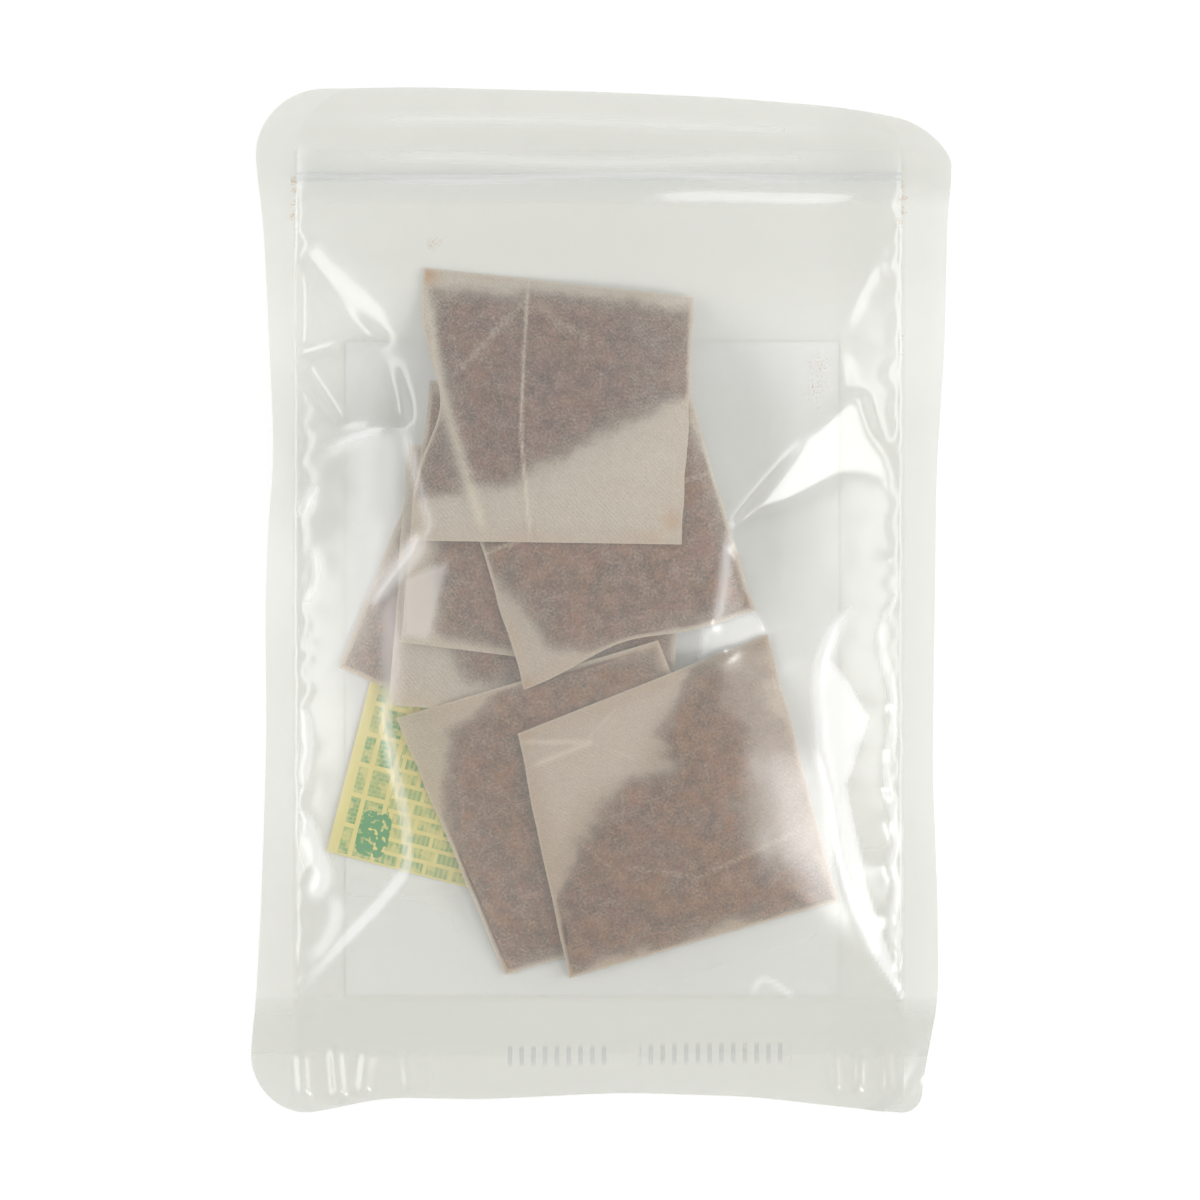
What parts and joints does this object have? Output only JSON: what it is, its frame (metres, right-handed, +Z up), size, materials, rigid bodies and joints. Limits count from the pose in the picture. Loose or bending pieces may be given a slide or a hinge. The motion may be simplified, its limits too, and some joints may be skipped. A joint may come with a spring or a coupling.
{
  "type": "dashi bag pouch",
  "caption": "Sealed milky-clear press-close pouch holding square filter bags of ground dashi and an oxygen absorber, lying label-side down.",
  "frame": {"origin": "under the middle of the pouch, on the table", "axes": "+Y along the pouch toward its closing strip, +Z up out of its back, +X to the right as the picture shows it"},
  "size_m": [0.169, 0.25, 0.0221],
  "materials": {
    "pouch_film": "milky clear, glossy",
    "label_paper": "matt white",
    "zip_strip": "clear, faintly blue",
    "absorber_film": "cream with green print",
    "filter_cloth": "thin unbleached non-woven",
    "dashi_powder": "dry coarse powder"
  },
  "bodies": {
    "root": {"back_film": "pouch_film", "front_film": "pouch_film", "label": "label_paper", "zip_groove": "zip_strip", "zip_rib": "zip_strip", "absorber": "absorber_film", "sachet_1_bag": "filter_cloth", "sachet_2_bag": "filter_cloth", "sachet_3_bag": "filter_cloth", "sachet_4_bag": "filter_cloth", "sachet_5_bag": "filter_cloth", "sachet_6_bag": "filter_cloth", "sachet_7_bag": "filter_cloth", "sachet_1_powder": "dashi_powder", "sachet_2_powder": "dashi_powder", "sachet_3_powder": "dashi_powder", "sachet_4_powder": "dashi_powder", "sachet_5_powder": "dashi_powder", "sachet_6_powder": "dashi_powder", "sachet_7_powder": "dashi_powder"}
  },
  "joints": []
}
